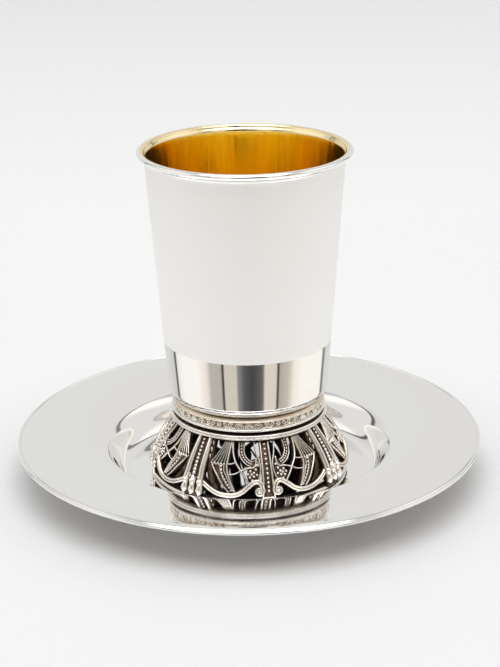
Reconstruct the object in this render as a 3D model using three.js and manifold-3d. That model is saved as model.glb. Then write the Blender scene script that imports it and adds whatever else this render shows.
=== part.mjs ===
// A kiddush cup on its saucer. The cup is a plain tapering beaker with a rolled lip, set on
// a stamped collar and a bulging openwork foot. It stands loose in the well of the saucer.
// Millimetres, +Z up, -Y is the front. The origin is the centre of the saucer's underside.

import * as THREE from 'three';
import { mergeVertices } from 'three/addons/utils/BufferGeometryUtils.js';
import Module from 'manifold-3d';

const wasm = await Module();
wasm.setup();

// ---------------------------------------------------------------- driving dimensions

const GAP = 0.3; // between pieces that touch

const SAUCER = {
  radius: 83.1, // over the bead round the edge
  height: 15.2, // top of the bead
  bead: 0.65, // radius of the bead's section
  sheet: 0.9, // thickness of the metal
  floorRadius: 42.5, // where the flat floor of the well ends
  wellRadius: 52.4, // where the wall of the well meets the rim
  wellHeight: 11.4, // height of the rim's surface there
  edgeRadius: 80.5, // where the rim turns up to the bead
  edgeHeight: 13.6,
};

const BEAKER = {
  height: 89.55, // underside to the top of the lip
  lowRadius: 28.4, // outside of the wall at the foot of the taper
  highRadius: 34.65, // outside of the wall under the lip
  wall: 0.8,
  base: 1.4, // thickness of the bottom
  corner: 1.6, // rounding between wall and underside
  lip: 1.3, // half the width of the rolled lip's oval section
  lipRise: 1.05, // half its height
};

const COLLAR = {
  height: 4.3,
  innerRadius: 22,
  friezeRadius: 26.6, // the stamped frieze, at the middle of its hollow
  ringRadius: 27.6, // the moulding under the frieze
  ringHeight: 1.4, // height of the moulding's widest line
};

const FOOT = {
  height: 23.7,
  turn: 11, // degrees from the front to the nearest strap
  quarters: 4, // one strap and one claw in each
  neckRadius: 27, // bulge at the top of the openwork
  neckHeight: 20.1,
  bulge: 8.6, // how far the bulge swells beyond the neck
  bulgeDrop: 17.9, // from the neck down to the widest line
  ringRadius: 28, // the moulding at the top
  ringInner: 24.5,
  baseRadius: 35.3, // the ring that it stands on
  baseInner: 32.2,
  baseHeight: 1.5,
};

const CLAW_ANGLE = 45; // from strap to claw
const TOE_ANGLE = 4.7; // from one toe of a claw to the next
const VOLUTE = { angle: 5.6, height: 5.3, radius: 1.9 };

const SAUCER_SEGMENTS = 44;
const CUP_SEGMENTS = 36;

// ---------------------------------------------------------------- openwork of the foot

// Lines on the bulge as [degrees from the strap, height, width]. A panel reaches from a strap
// to a claw, and its neighbour across the strap is its mirror image.
const STRAP = [[0, 21.4, 3.2], [0, 13, 4], [0, 5, 4.2], [0, 2.4, 5], [0, 0.8, 5.4]];
const CLAW = [[CLAW_ANGLE, 21.4, 5.8], [CLAW_ANGLE, 13, 7.4], [CLAW_ANGLE, 6, 7.6]];
const CLAW_SOLE = [[CLAW_ANGLE, 7, 6], [CLAW_ANGLE, 0.8, 6]];
const TOE = [[0, 9, 2.2], [0, 5.4, 2.6], [0, 2.6, 2.4]];
const PLATES = [
  [[6, 15.2, 2.6], [7.8, 12.4, 5], [11.2, 7.8, 2.4]], // shield of berries
  [[28, 21.2, 1.2], [31.6, 15.4, 4.8], [28.6, 10.4, 3.2], [22.6, 4.8, 2]], // fan and leaf
];
const STEMS = [
  [[16.5, 21.2, 1.6], [16, 17.6, 1.8], [13.4, 15.2, 1.8], [8, 14, 1.8]], // curled beaded band
  [[22.4, 21.2, 1.1], [21, 16.6, 0.9], [17, 12.8, 0.9], [9, 11, 0.9]], // inner stem
  [[25, 21.2, 1.1], [25.4, 15.5, 1], [24, 10.8, 1], [19.2, 4.6, 0.9]], // outer stem
];
const SWAG = [
  [42, 9, 1.8], [36, 6.4, 1.8], [29.5, 4.4, 1.8], [22, 3.9, 1.8], [15.6, 5.2, 1.8],
  [10.6, 7.9, 1.8], [6.6, 8.5, 1.7], [4.1, 6.9, 1.5], [4.4, 4.9, 1.3],
];

// ---------------------------------------------------------------- helpers

const degrees = THREE.MathUtils.degToRad;

// The closed solid of a closed geometry: shared vertices merged, collapsed triangles dropped.
function solidOf(geometry) {
  const bare = geometry.clone();
  bare.deleteAttribute('normal');
  bare.deleteAttribute('uv');
  const merged = mergeVertices(bare, 1e-4);
  const corners = [];
  for (let i = 0; i < merged.index.count; i += 3) {
    const [a, b, c] = [0, 1, 2].map((k) => merged.index.getX(i + k));
    if (a !== b && b !== c && c !== a) corners.push(a, b, c);
  }
  return new wasm.Manifold(new wasm.Mesh({
    numProp: 3,
    vertProperties: new Float32Array(merged.attributes.position.array),
    triVerts: new Uint32Array(corners),
  }));
}

function geometryOf(solid) {
  const mesh = solid.getMesh();
  const geometry = new THREE.BufferGeometry();
  geometry.setAttribute('position', new THREE.BufferAttribute(mesh.vertProperties, 3));
  geometry.setIndex(new THREE.BufferAttribute(mesh.triVerts, 1));
  geometry.computeVertexNormals();
  return geometry;
}

// A turned piece from its profile of [radius, height] points, going up the outside.
function turned(profile, segments) {
  const points = profile.map(([radius, height]) => new THREE.Vector2(radius, height));
  return solidOf(new THREE.LatheGeometry(points, segments).rotateX(Math.PI / 2));
}

// Points on an arc of the turned profile, from one angle to the other, in degrees. The arc is
// part of an oval where its rise differs from its radius.
function arc(centre, radius, from, to, steps, rise = radius) {
  const points = [];
  for (let i = 0; i <= steps; i += 1) {
    const angle = degrees(THREE.MathUtils.lerp(from, to, i / steps));
    points.push([centre[0] + radius * Math.cos(angle), centre[1] + rise * Math.sin(angle)]);
  }
  return points;
}

// ---------------------------------------------------------------- saucer

// The well's wall is an S from the floor to the rim, the rim rises gently and turns up to a
// bead, and the underside follows the same line one sheet lower.
function saucer() {
  const s = SAUCER;
  const slope = (s.edgeHeight - s.wellHeight) / (s.edgeRadius - s.wellRadius);
  const wall = new THREE.CubicBezierCurve(
    new THREE.Vector2(s.floorRadius, s.sheet),
    new THREE.Vector2(s.floorRadius + 6.3, s.sheet),
    new THREE.Vector2(s.wellRadius - 5.2, s.wellHeight - 5.2 * slope),
    new THREE.Vector2(s.wellRadius, s.wellHeight),
  );
  const middle = new THREE.Vector2();
  const across = new THREE.Vector2();
  const upper = [];
  const lower = [];
  const steps = 4;
  for (let i = 0; i <= steps; i += 1) {
    wall.getPoint(i / steps, middle);
    wall.getTangent(i / steps, across);
    upper.push([middle.x, middle.y]);
    lower.push([middle.x + across.y * s.sheet, middle.y - across.x * s.sheet]);
  }
  const edge = arc([s.radius - s.bead, s.height - s.bead], s.bead, -90, 180, 6);
  return turned([
    [0, 0],
    ...lower,
    [s.edgeRadius, s.edgeHeight - s.sheet],
    ...edge,
    [s.edgeRadius, s.edgeHeight],
    ...upper.reverse(),
    [0, s.sheet],
  ], SAUCER_SEGMENTS);
}

// ---------------------------------------------------------------- beaker

// A hollow cup with a flat bottom. The wall rolls outwards at the top into an oval lip.
function beaker() {
  const b = BEAKER;
  const lipCentre = [b.highRadius + b.lip, b.height - b.lipRise];
  const underLip = b.height - 2 * b.lipRise;
  const slope = (b.highRadius - b.lowRadius) / underLip;
  const outer = (height) => b.lowRadius + slope * height;
  const inside = b.base + b.corner;
  return turned([
    [0, 0],
    ...arc([b.lowRadius - b.corner, b.corner], b.corner, -90, 0, 2),
    [b.highRadius, underLip],
    ...arc(lipCentre, b.lip, -90, 180, 6, b.lipRise),
    [b.highRadius - b.wall, underLip],
    [outer(inside) - b.wall, inside],
    [outer(inside) - b.wall - b.corner / 3, b.base + b.corner / 3],
    [outer(inside) - b.wall - b.corner, b.base],
    [0, b.base],
  ], CUP_SEGMENTS);
}

// ---------------------------------------------------------------- collar

// A ring with a shallow hollow for the stamped frieze over a rounded moulding.
function collar() {
  const c = COLLAR;
  return turned([
    [c.innerRadius, 0],
    [c.friezeRadius, 0],
    [c.ringRadius - 0.3, c.ringHeight - 0.6],
    [c.ringRadius, c.ringHeight],
    [c.ringRadius - 0.3, c.ringHeight + 0.6],
    [c.friezeRadius, (c.ringHeight + c.height) / 2],
    [c.friezeRadius + 0.3, c.height],
    [c.innerRadius, c.height],
    [c.innerRadius, 0],
  ], CUP_SEGMENTS);
}

// ---------------------------------------------------------------- foot

function bulgeRadius(height) {
  const fall = (FOOT.neckHeight - height) / FOOT.bulgeDrop;
  return FOOT.neckRadius + FOOT.bulge * Math.sin((Math.PI / 2) * fall);
}

// A point on the bulge. The angle runs from the front (-Y) towards +X, in degrees.
function onBulge(angle, height) {
  const radius = bulgeRadius(height);
  const turn = degrees(angle);
  return new THREE.Vector3(radius * Math.sin(turn), -radius * Math.cos(turn), height);
}

function bulgeNormal(angle, height) {
  const step = 0.05;
  const along = onBulge(angle, height + step).sub(onBulge(angle, height - step));
  const round = onBulge(angle + step, height).sub(onBulge(angle - step, height));
  return round.cross(along).normalize();
}

// Lays a unit geometry on the bulge: its x across the line, its y along it, and its z from
// `inward` below the bulge to `outward` above it.
function lay(geometry, points, mirror, outward, inward) {
  const line = new THREE.CatmullRomCurve3(
    points.map(([angle, height, width]) => new THREE.Vector3(angle * mirror, height, width)),
  );
  const position = geometry.attributes.position;
  const step = 0.01;
  for (let i = 0; i < position.count; i += 1) {
    const t = position.getY(i) + 0.5;
    const here = line.getPoint(t);
    const before = line.getPoint(Math.max(t - step, 0));
    const after = line.getPoint(Math.min(t + step, 1));
    const normal = bulgeNormal(here.x, here.y);
    const along = onBulge(after.x, after.y).sub(onBulge(before.x, before.y)).normalize();
    const across = along.clone().cross(normal).normalize();
    const out = THREE.MathUtils.lerp(-inward, outward, position.getZ(i) + 0.5);
    const point = onBulge(here.x, here.y);
    point.addScaledVector(across, position.getX(i) * here.z).addScaledVector(normal, out);
    position.setXYZ(i, point.x, point.y, point.z);
  }
  return solidOf(geometry);
}

const flatBar = (steps) => new THREE.BoxGeometry(1, 1, 1, 1, steps, 1);

// A bar with a raised rail along each edge. The rail and the bed between are shares of the
// bar's width and depth.
function channelBar(rail, bed, steps) {
  const section = new THREE.Shape([
    [-0.5, -0.5], [0.5, -0.5], [0.5, 0.5], [0.5 - rail, 0.5],
    [0.5 - rail, bed - 0.5], [rail - 0.5, bed - 0.5], [rail - 0.5, 0.5], [-0.5, 0.5],
  ].map(([x, y]) => new THREE.Vector2(x, y)));
  const bar = new THREE.ExtrudeGeometry(section, { depth: 1, steps, bevelEnabled: false });
  return bar.rotateX(Math.PI / 2).translate(0, 0.5, 0);
}

// A claw: a channel that ends in three round toes, on a sole that reaches the base ring.
function clawParts() {
  const parts = [
    lay(channelBar(0.26, 0.6, 3), CLAW, 1, 0.9, 2.3),
    lay(flatBar(1), CLAW_SOLE, 1, 0, 2),
  ];
  for (const side of [-1, 0, 1]) {
    const toe = TOE.map(([, height, width]) => [CLAW_ANGLE + side * TOE_ANGLE, height, width]);
    parts.push(lay(new THREE.SphereGeometry(0.5, 6, 3), toe, 1, 2, 1.4));
  }
  return parts;
}

// One side of a strap: the bars of the panel, each kind a little thinner than the one before,
// and the swag with its volute.
function panelParts(mirror) {
  const parts = [
    ...PLATES.map((points) => lay(flatBar(points.length - 1), points, mirror, -0.1, 1.9)),
    ...STEMS.map((points) => lay(flatBar(points.length - 1), points, mirror, -0.5, 1.5)),
    lay(flatBar(8), SWAG, mirror, 0.5, 2.1),
  ];
  const { angle, height, radius } = VOLUTE;
  const disc = [[angle, height - radius, 2 * radius], [angle, height + radius, 2 * radius]];
  const button = new THREE.CylinderGeometry(0.5, 0.5, 1, 8).rotateX(Math.PI / 2);
  parts.push(lay(button, disc, mirror, 0.7, 1.8));
  return parts;
}

function foot() {
  const f = FOOT;
  const top = f.height;
  const ring = turned([
    [f.ringInner, f.neckHeight + 0.4],
    [f.neckRadius - 0.1, f.neckHeight + 0.4],
    [f.ringRadius - 0.2, f.neckHeight + 1.4],
    [f.ringRadius, top - 1.2],
    [f.ringRadius - 0.5, top - 0.2],
    [f.neckRadius - 0.6, top],
    [f.ringInner, top],
    [f.ringInner, f.neckHeight + 0.4],
  ], CUP_SEGMENTS);
  const base = turned([
    [f.baseInner, 0],
    [f.baseRadius - 0.4, 0],
    [f.baseRadius, 0.5],
    [f.baseRadius - 0.2, f.baseHeight],
    [f.baseInner, f.baseHeight],
    [f.baseInner, 0],
  ], CUP_SEGMENTS);
  const strap = lay(channelBar(0.2, 0.7, 3), STRAP, 1, 0, 2);
  const quarter = [strap, ...clawParts(), ...panelParts(1), ...panelParts(-1)];
  const joined = quarter.reduce((whole, part) => whole.add(part));
  let whole = ring.add(base);
  for (let k = 0; k < f.quarters; k += 1) {
    whole = whole.add(joined.rotate([0, 0, (360 / f.quarters) * k]));
  }
  return whole;
}

// ---------------------------------------------------------------- the whole set

function piece(name, solid, colour, roughness) {
  const material = new THREE.MeshStandardMaterial({ color: colour, metalness: 1, roughness });
  const mesh = new THREE.Mesh(geometryOf(solid), material);
  mesh.name = name;
  return mesh;
}

const set = new THREE.Group();
set.add(piece('saucer', saucer(), 0xd8d8d6, 0.08));

const cup = new THREE.Group();
cup.position.z = SAUCER.sheet + GAP;
set.add(cup);

const footPiece = piece('foot', foot(), 0x8f8a84, 0.35);
footPiece.rotation.z = degrees(FOOT.turn);
cup.add(footPiece);

const collarPiece = piece('collar', collar(), 0xb0a594, 0.25);
collarPiece.position.z = FOOT.height + GAP;
cup.add(collarPiece);

const beakerPiece = piece('beaker', beaker(), 0xe8e8e5, 0.2);
beakerPiece.position.z = collarPiece.position.z + COLLAR.height + GAP;
cup.add(beakerPiece);

export default set;
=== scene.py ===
"""A silver kiddush cup standing in its saucer, made as surfaces of two parameters.

Metres, +Z up, -Y is the front, and the origin is the centre of the saucer's underside.
"""

import bpy
import numpy as np
from mathutils import Matrix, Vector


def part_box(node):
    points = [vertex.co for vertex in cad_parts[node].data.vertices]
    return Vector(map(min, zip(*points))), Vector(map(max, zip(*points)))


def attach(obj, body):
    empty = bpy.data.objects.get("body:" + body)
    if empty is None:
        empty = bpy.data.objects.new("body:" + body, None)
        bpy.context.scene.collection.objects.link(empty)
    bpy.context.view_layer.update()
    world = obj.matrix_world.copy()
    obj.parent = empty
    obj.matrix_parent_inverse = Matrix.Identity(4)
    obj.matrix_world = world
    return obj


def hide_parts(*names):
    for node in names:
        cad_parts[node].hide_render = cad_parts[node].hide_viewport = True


bl_info = {
    "name": "Kiddush Cup",
    "version": (1, 0, 0),
    "blender": (4, 5, 0),
    "location": "View3D > Sidebar > Kiddush Cup",
    "description": "Builds a silver kiddush cup with an openwork foot, in its saucer",
    "category": "Object",
}

MM = 0.001
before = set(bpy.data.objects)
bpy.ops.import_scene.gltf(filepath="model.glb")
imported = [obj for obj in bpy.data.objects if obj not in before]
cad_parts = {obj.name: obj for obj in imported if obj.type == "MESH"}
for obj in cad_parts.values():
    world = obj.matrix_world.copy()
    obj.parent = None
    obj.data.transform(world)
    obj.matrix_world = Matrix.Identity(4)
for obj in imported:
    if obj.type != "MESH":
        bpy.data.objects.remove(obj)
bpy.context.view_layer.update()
SAUCER_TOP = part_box("saucer")[1]
FOOT_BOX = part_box("foot")
COLLAR_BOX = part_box("collar")
BEAKER_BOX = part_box("beaker")
BODY = "root"


# ---------------------------------------------------------------- sizes and colours


def length(name, description, default):
    """A size in metres that the sidebar shows as a distance."""
    return bpy.props.FloatProperty(
        name=name, description=description, default=default, min=0.0, unit="LENGTH", subtype="DISTANCE"
    )


def colour(name, description, default):
    """A linear colour."""
    return bpy.props.FloatVectorProperty(
        name=name, description=description, default=default, size=3, min=0.0, max=1.0, subtype="COLOR"
    )


def share(name, description, default):
    """A plain number from 0 to 1."""
    return bpy.props.FloatProperty(
        name=name, description=description, default=default, min=0.0, max=1.0, subtype="FACTOR"
    )


def angle(name, description, degrees):
    """An angle that is given in degrees and kept in radians."""
    return bpy.props.FloatProperty(
        name=name, description=description, default=np.radians(degrees), unit="ROTATION"
    )


class SaucerSizes(bpy.types.PropertyGroup):
    radius: length("Radius", "Over the bead round the edge", SAUCER_TOP.x)
    height: length("Height", "Top of the shoulder", SAUCER_TOP.z)
    bead: length("Bead", "Radius of the bead round the edge", 0.62 * MM)
    bead_height: length("Bead height", "Middle of the bead", 14.3 * MM)
    shoulder: length("Shoulder", "Half the width of the soft shoulder inside the bead", 2.4 * MM)
    shoulder_rise: length("Shoulder rise", "Half the height of that shoulder's oval", 1.0 * MM)
    sheet: length("Sheet", "Thickness of the metal", 0.9 * MM)
    floor_radius: length("Floor radius", "Where the flat floor of the well ends", 42.5 * MM)
    well_radius: length("Well radius", "Where the wall of the well meets the rim", 53.1 * MM)
    well_height: length("Well height", "Height of the rim at the well", 12.1 * MM)
    edge_radius: length("Edge radius", "Where the rim runs into the shoulder", 78.95 * MM)
    edge_height: length("Edge height", "Height of the rim there", 15.162 * MM)


class BeakerSizes(bpy.types.PropertyGroup):
    low_radius: length("Low radius", "Outside of the wall at the bottom", 28.4 * MM)
    high_radius: length("High radius", "Outside of the wall under the lip", 34.65 * MM)
    wall: length("Wall", "Thickness of the wall", 0.8 * MM)
    base: length("Base", "Thickness of the bottom", 1.4 * MM)
    corner: length("Corner", "Rounding between wall and underside", 4.4 * MM)
    lip: length("Lip", "Half the width of the rolled lip", 1.3 * MM)
    lip_rise: length("Lip rise", "Half the height of the rolled lip", 1.05 * MM)
    band: length("Polished band", "Height of the polished band over the underside", 21.4 * MM)


class CollarSizes(bpy.types.PropertyGroup):
    inner_radius: length("Inner radius", "Bore of the collar", 22 * MM)
    frieze_radius: length("Frieze radius", "Ground of the stamped frieze", 26.6 * MM)
    ring_radius: length("Ring radius", "Moulding under the frieze", COLLAR_BOX[1].x)
    ring_height: length("Ring height", "Widest line of the moulding over the underside", 0.65 * MM)
    relief: length("Relief", "Height of the stamped scrolls", 0.42 * MM)
    repeats: bpy.props.IntProperty(name="Repeats", description="Motifs round the frieze", default=8, min=3)


class FootSizes(bpy.types.PropertyGroup):
    turn: angle("Turn", "From the front to the nearest strap", 11.0)
    neck_radius: length("Neck radius", "Bulge at the top of the openwork", 27 * MM)
    neck_height: length("Neck height", "Top of the openwork over the base", 20.1 * MM)
    bulge: length("Bulge", "How far the bulge swells beyond the neck", 8.6 * MM)
    bulge_drop: length("Bulge drop", "From the neck down to the widest line", 17.9 * MM)
    ring_radius: length("Ring radius", "Double moulding at the top", 28 * MM)
    base_radius: length("Base radius", "Ring that it stands on", 35.3 * MM)
    base_width: length("Base width", "From the inside to the outside of that ring", 3.1 * MM)
    base_height: length("Base height", "Height of that ring", 1.5 * MM)


class Finishes(bpy.types.PropertyGroup):
    silver: colour("Silver", "Polished and satin silver", (0.93, 0.925, 0.91))
    # Painted shade: these two satin colours make the satin body darker the higher it stands, up to the lip.
    satin_low_lit: colour("Low satin", "Satin silver over the polished band", (0.985, 0.98, 0.965))
    satin_high_shaded: colour("High satin", "Satin silver under the lip", (0.925, 0.915, 0.895))
    bright: colour("Worn silver", "Raised lines of the cast work", (0.93, 0.905, 0.865))
    warm: colour("Warm silver", "Shoulders of those lines", (0.74, 0.61, 0.47))
    brown: colour("Patina", "Brown between silver and oxide", (0.22, 0.155, 0.105))
    oxide: colour("Oxide", "Dark finish in the hollows of the cast work", (0.058, 0.038, 0.029))
    gold: colour("Gilding", "Inside of the beaker", (0.97, 0.70, 0.12))
    pale_gold: colour("Pale gilding", "Thin gilding at the lip", (0.95, 0.80, 0.50))
    floor: colour("Floor", "Pale table", (0.775, 0.776, 0.782))
    # Painted shade: the table's colour is made darker far behind the cup.
    far_floor_shaded: colour("Far floor", "The table far behind", (0.655, 0.658, 0.667))
    satin: share("Satin roughness", "Roughness of the satin body", 0.65)
    polish: share("Polish roughness", "Roughness of the polished silver", 0.035)


class StageSizes(bpy.types.PropertyGroup):
    distance: length("Camera distance", "From the axis of the cup, level", 580.2 * MM)
    height: length("Camera height", "Over the table", 264.0 * MM)
    sideways: length("Camera sideways", "To the right of the axis", 0.9 * MM)
    focal_length: bpy.props.FloatProperty(
        name="Focal length", description="On a 36 mm frame, in millimetres", default=94.13, subtype="NONE"
    )
    pitch: angle("Pitch", "Downwards", 20.09)
    roll: angle("Roll", "About the line of sight", -0.8)
    floor_size: length("Floor size", "Half the side of the table", 6.0)


# ---------------------------------------------------------------- meshes


def grid_faces(rows, columns, close_rows, close_columns):
    """Quads over a grid of points numbered row by row, joined round where an axis is closed."""
    row = np.arange(rows if close_rows else rows - 1)
    column = np.arange(columns if close_columns else columns - 1)
    r, c = np.meshgrid(row, column, indexing="ij")
    r2, c2 = (r + 1) % rows, (c + 1) % columns
    quads = np.stack([r * columns + c, r * columns + c2, r2 * columns + c2, r2 * columns + c], -1)
    return quads.reshape(-1, 4)


def end_fans(rows, columns):
    """Triangles that close a tube of rows: two poles, numbered after the grid's points, are joined to each
    step of the first row and of the last row."""
    here = np.arange(columns)
    after = (here + 1) % columns
    pole = np.full(columns, rows * columns)
    last = (rows - 1) * columns
    first_fan = np.stack([pole, after, here], -1)
    last_fan = np.stack([pole + 1, last + here, last + after], -1)
    return np.concatenate([first_fan, last_fan])


class Shape:
    """Points, quads, triangles and one value for each point, gathered from several surfaces."""

    def __init__(self):
        self.points, self.quads, self.triangles, self.values = [], [], [], []
        self.count = 0

    def add(self, points, quads=(), triangles=(), values=1.0):
        points = np.asarray(points, float).reshape(-1, 3)
        self.points.append(points)
        self.quads.append(np.asarray(quads, int).reshape(-1, 4) + self.count)
        self.triangles.append(np.asarray(triangles, int).reshape(-1, 3) + self.count)
        self.values.append(np.broadcast_to(np.asarray(values, float), (len(points),)))
        self.count += len(points)

    def arrays(self):
        return [np.concatenate(part) for part in (self.points, self.quads, self.triangles, self.values)]

    def copied(self, other, turn=None, mirror=False):
        """Adds the shape `other`, mirrored in X first and then turned about Z."""
        points, quads, triangles, values = other.arrays()
        if mirror:
            points = points * (-1.0, 1.0, 1.0)
            quads, triangles = quads[:, ::-1], triangles[:, ::-1]
        if turn is not None:
            c, s = np.cos(turn), np.sin(turn)
            points = points @ np.array([[c, s, 0.0], [-s, c, 0.0], [0.0, 0.0, 1.0]])
        self.add(points, quads, triangles, values)


def make_piece(name, shape, materials, node, material_index=None):
    """One object from a shape. Its value for each point is stored as the attribute `wear`."""
    points, quads, triangles, values = shape.arrays()
    mesh = bpy.data.meshes.new(name)
    mesh.vertices.add(len(points))
    mesh.vertices.foreach_set("co", points.astype(np.float32).ravel())
    corners = np.concatenate([quads.ravel(), triangles.ravel()])
    mesh.loops.add(len(corners))
    mesh.loops.foreach_set("vertex_index", corners.astype(np.int32))
    sizes = np.concatenate([np.full(len(quads), 4), np.full(len(triangles), 3)])
    mesh.polygons.add(len(sizes))
    mesh.polygons.foreach_set("loop_start", (np.cumsum(sizes) - sizes).astype(np.int32))
    mesh.update(calc_edges=True)
    mesh.validate()
    mesh.shade_smooth()
    wear = mesh.attributes.new("wear", "FLOAT", "POINT")
    wear.data.foreach_set("value", values.astype(np.float32))
    for material in materials:
        mesh.materials.append(material)
    if material_index is not None:
        mesh.polygons.foreach_set("material_index", material_index.astype(np.int32))
    piece = bpy.data.objects.new(name, mesh)
    bpy.context.scene.collection.objects.link(piece)
    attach(piece, BODY)
    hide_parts(node)
    return piece


# ---------------------------------------------------------------- lines and turned surfaces


def line(start, end, count):
    """Points spaced evenly from start to end, without the end."""
    return np.linspace(start, end, count, endpoint=False)


def arc(centre, radius, start, end, count, rise=None):
    """An arc of an oval: centre + (radius cos a, rise sin a) while a runs from start to end, in degrees."""
    a = np.radians(np.linspace(start, end, count))
    return np.stack([centre[0] + radius * np.cos(a), centre[1] + (rise or radius) * np.sin(a)], -1)


def bezier(p0, p1, p2, p3, count):
    """The cubic Bezier curve of four points, by Bernstein's sum."""
    t = np.linspace(0, 1, count)[:, None]
    p0, p1, p2, p3 = (np.asarray(p, float) for p in (p0, p1, p2, p3))
    return (1 - t) ** 3 * p0 + 3 * (1 - t) ** 2 * t * p1 + 3 * (1 - t) * t**2 * p2 + t**3 * p3


def smooth_line(points, count):
    """A Catmull-Rom curve through the points: each stretch is a cubic whose slope at a point is half the
    step between that point's neighbours."""
    p = np.asarray(points, float)
    if len(p) == 2:
        return p[0] + (p[1] - p[0]) * np.linspace(0, 1, count)[:, None]
    padded = np.concatenate([[2 * p[0] - p[1]], p, [2 * p[-1] - p[-2]]])
    t = np.linspace(0, len(p) - 1, count)
    i = np.minimum(t.astype(int), len(p) - 2)
    t = (t - i)[:, None]
    a, b, c, d = padded[i], padded[i + 1], padded[i + 2], padded[i + 3]
    return b + 0.5 * t * (c - a + t * (2 * a - 5 * b + 4 * c - d + t * (3 * (b - c) + d - a)))


def revolve(shape, profile, segments, values=1.0):
    """Turns a profile of (radius, height), going up the outside, about Z: each point becomes the circle
    (radius sin a, -radius cos a, height). A profile that starts and ends on the axis gets a fan of triangles
    at each pole, and any other one closes on itself."""
    profile = np.asarray(profile, float)
    a = np.linspace(0, 2 * np.pi, segments, endpoint=False)
    poles = profile[0, 0] < 0.001 * MM
    ring = profile[1:-1] if poles else profile
    values = np.broadcast_to(np.asarray(values, float), (len(profile),))
    ring_values = values[1:-1] if poles else values
    radius, height = ring[:, 0, None], ring[:, 1, None]
    z = np.broadcast_to(height, (len(ring), segments))
    points = np.stack([radius * np.sin(a), -radius * np.cos(a), z], -1).reshape(-1, 3)
    quads = grid_faces(len(ring), segments, not poles, True)
    spread = np.repeat(ring_values, segments)
    if not poles:
        shape.add(points, quads, values=spread)
        return
    ends = [[0, 0, profile[0, 1]], [0, 0, profile[-1, 1]]]
    end_values = np.append(spread, values[[0, -1]])
    shape.add(np.concatenate([points, ends]), quads, end_fans(len(ring), segments), end_values)


# ---------------------------------------------------------------- materials


def new_material(name, metallic, roughness):
    """A material with one Principled shader, and the two of them."""
    material = bpy.data.materials.new(name)
    material.use_nodes = True
    nodes = material.node_tree.nodes
    shader = nodes["Principled BSDF"]
    shader.inputs["Metallic"].default_value = metallic
    shader.inputs["Roughness"].default_value = roughness
    return material, shader


def add_node(material, kind, settings=None, **inputs):
    """A node of the material with its settings and its unlinked inputs' values."""
    node = material.node_tree.nodes.new(kind)
    for key, value in (settings or {}).items():
        setattr(node, key, value)
    for key, value in inputs.items():
        node.inputs[key.replace("_", " ")].default_value = value
    return node


def feed(material, socket, source):
    """Links a socket to another one, or sets it to a colour or a number."""
    if isinstance(source, bpy.types.NodeSocket):
        material.node_tree.links.new(source, socket)
    elif np.ndim(source):
        socket.default_value = (*source, 1)
    else:
        socket.default_value = source


def axes(material, kind):
    """The coordinates of a kind, such as Object, as the sockets X, Y and Z."""
    coordinates = add_node(material, "ShaderNodeTexCoord")
    split = add_node(material, "ShaderNodeSeparateXYZ")
    feed(material, split.inputs["Vector"], coordinates.outputs[kind])
    return split.outputs


def object_pattern(material, scale, noise_scale, detail=3.0):
    """Noise on the object's own coordinates, stretched by a Mapping node."""
    coordinates = add_node(material, "ShaderNodeTexCoord")
    mapping = add_node(material, "ShaderNodeMapping", Scale=scale)
    noise = add_node(material, "ShaderNodeTexNoise", Scale=noise_scale, Detail=detail)
    feed(material, mapping.inputs["Vector"], coordinates.outputs["Object"])
    feed(material, noise.inputs["Vector"], mapping.outputs["Vector"])
    return noise.outputs["Fac"]


def wear_value(material):
    """The attribute `wear` that each piece carries."""
    return add_node(material, "ShaderNodeAttribute", {"attribute_name": "wear"}).outputs["Fac"]


def remap(material, source, low, high, to_low, to_high):
    """Carries source from low..high to to_low..to_high, clamped."""
    ends = {"From_Min": low, "From_Max": high, "To_Min": to_low, "To_Max": to_high}
    node = add_node(material, "ShaderNodeMapRange", **ends)
    feed(material, node.inputs["Value"], source)
    return node.outputs["Result"]


def calculate(material, operation, first, second):
    """A Math node on two sockets or numbers."""
    node = add_node(material, "ShaderNodeMath", {"operation": operation})
    feed(material, node.inputs[0], first)
    feed(material, node.inputs[1], second)
    return node.outputs["Value"]


def mix(material, factor, first, second, kind="RGBA", blend="MIX"):
    """Goes from first to second with the factor. Each is a socket, a colour or, in a FLOAT mix, a number."""
    node = add_node(material, "ShaderNodeMix", {"data_type": kind, "blend_type": blend})
    for name, source in (("Factor", factor), ("A", first), ("B", second)):
        feed(material, node.inputs[name], source)
    return node.outputs["Result"]


def tinted(tone, by):
    """A colour made darker or lighter."""
    return [min(1.0, part * by) for part in tone]


def colour_ramp(material, factor, stops):
    """A colour that runs through the stops (place from 0 to 1, colour)."""
    node = add_node(material, "ShaderNodeValToRGB")
    elements = node.color_ramp.elements
    while len(elements) < len(stops):
        elements.new(0.5)
    for element, (place, tone) in zip(elements, stops):
        element.position = place
        element.color = (*tone, 1)
    feed(material, node.inputs["Fac"], factor)
    return node.outputs["Color"]


def shade(material, shader, tone, rough, height, strength, distance):
    """Gives the shader its colour, its roughness and a bump from the height."""
    grain = add_node(material, "ShaderNodeBump", Strength=strength, Distance=distance)
    feed(material, grain.inputs["Height"], height)
    feed(material, shader.inputs["Base Color"], tone)
    feed(material, shader.inputs["Roughness"], rough)
    feed(material, shader.inputs["Normal"], grain.outputs["Normal"])


def polished_silver(finish):
    """Mirror polish with the faint clouding of a much wiped surface."""
    material, shader = new_material("polished_silver", 1.0, finish.polish)
    clouds = object_pattern(material, (1, 1, 1), 60.0)
    rough = remap(material, clouds, 0.35, 0.7, finish.polish, finish.polish + 0.035)
    feed(material, shader.inputs["Roughness"], rough)
    tone = mix(material, clouds, tinted(finish.silver, 0.985), finish.silver)
    feed(material, shader.inputs["Base Color"], tone)
    return material


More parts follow.
